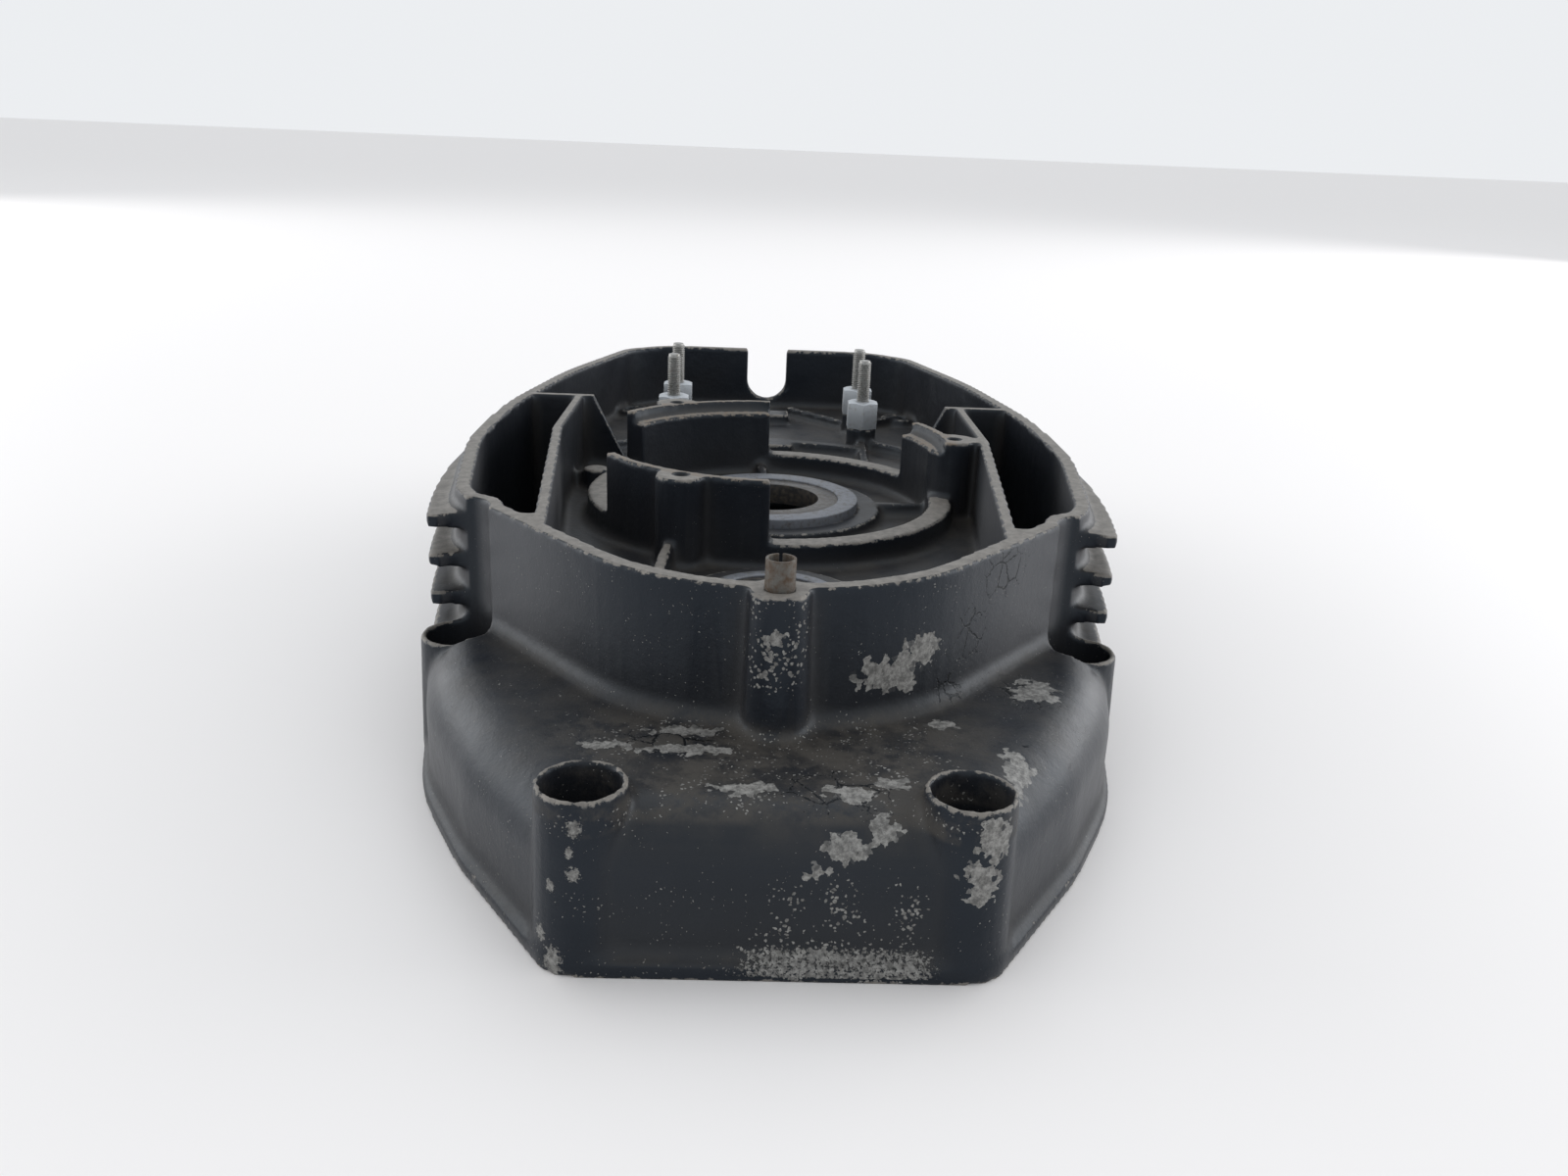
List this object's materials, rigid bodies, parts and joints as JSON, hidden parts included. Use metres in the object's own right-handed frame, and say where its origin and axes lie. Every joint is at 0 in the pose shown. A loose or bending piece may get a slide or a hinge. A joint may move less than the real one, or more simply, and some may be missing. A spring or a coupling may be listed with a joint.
{
  "type": "engine front cover",
  "caption": "Cast engine front cover with a crank bearing and seal, a camshaft seal, an alternator cup, screw tubes, cooling fins and rectifier studs.",
  "frame": {"origin": "middle of the cover's mating face", "axes": "+Z away from the engine, +Y towards the end with the cable slot, +X to the right when seen from outside with +Y up"},
  "size_m": [0.1844, 0.363, 0.072],
  "materials": {
    "black_paint": "satin black paint on cast alloy, worn to bare metal on its edges",
    "seal_case": "dull dusty pressed steel",
    "seal_rubber": "oily black rubber",
    "spring_steel": "bright wire",
    "bearing_steel": "ground steel",
    "ball_steel": "polished steel",
    "cage_brass": "pressed steel",
    "circlip_steel": "black spring steel",
    "sleeve_steel": "steel with light rust",
    "standoff_alloy": "dull grey alloy",
    "stud_steel": "dull zinc plate"
  },
  "bodies": {
    "cover": {"cover_casting": "black_paint", "crank_seal_case": "seal_case", "crank_seal_lip": "seal_rubber", "crank_seal_spring": "spring_steel", "cam_seal_case": "seal_case", "cam_seal_lip": "seal_rubber", "cam_seal_spring": "spring_steel", "crank_bearing_outer_race": "bearing_steel", "crank_bearing_circlip": "circlip_steel", "locating_sleeve": "sleeve_steel", "rectifier_standoff_front_left": "standoff_alloy", "rectifier_standoff_front_right": "standoff_alloy", "rectifier_standoff_rear_left": "standoff_alloy", "rectifier_standoff_rear_right": "standoff_alloy", "rectifier_stud_front_left": "stud_steel", "rectifier_stud_front_right": "stud_steel", "rectifier_stud_rear_left": "stud_steel", "rectifier_stud_rear_right": "stud_steel"},
    "bearing_inner": {"crank_bearing_inner_race": "bearing_steel"},
    "bearing_cage": {"crank_bearing_cage": "cage_brass", "crank_bearing_balls": "ball_steel"}
  },
  "joints": [
    {"name": "crank_bearing_turn", "type": "hinge", "parent": "cover", "child": "bearing_inner", "pos_m": [0, 0.0035, 0.0235], "axis": [0, 0, 1], "continuous": true},
    {"name": "ball_cage_turn", "type": "hinge", "parent": "cover", "child": "bearing_cage", "pos_m": [0, 0.0035, 0.0235], "axis": [0, 0, 1], "continuous": true}
  ],
  "couplings": [
    {"joint": "ball_cage_turn", "follows": "crank_bearing_turn", "ratio": 0.3965}
  ]
}
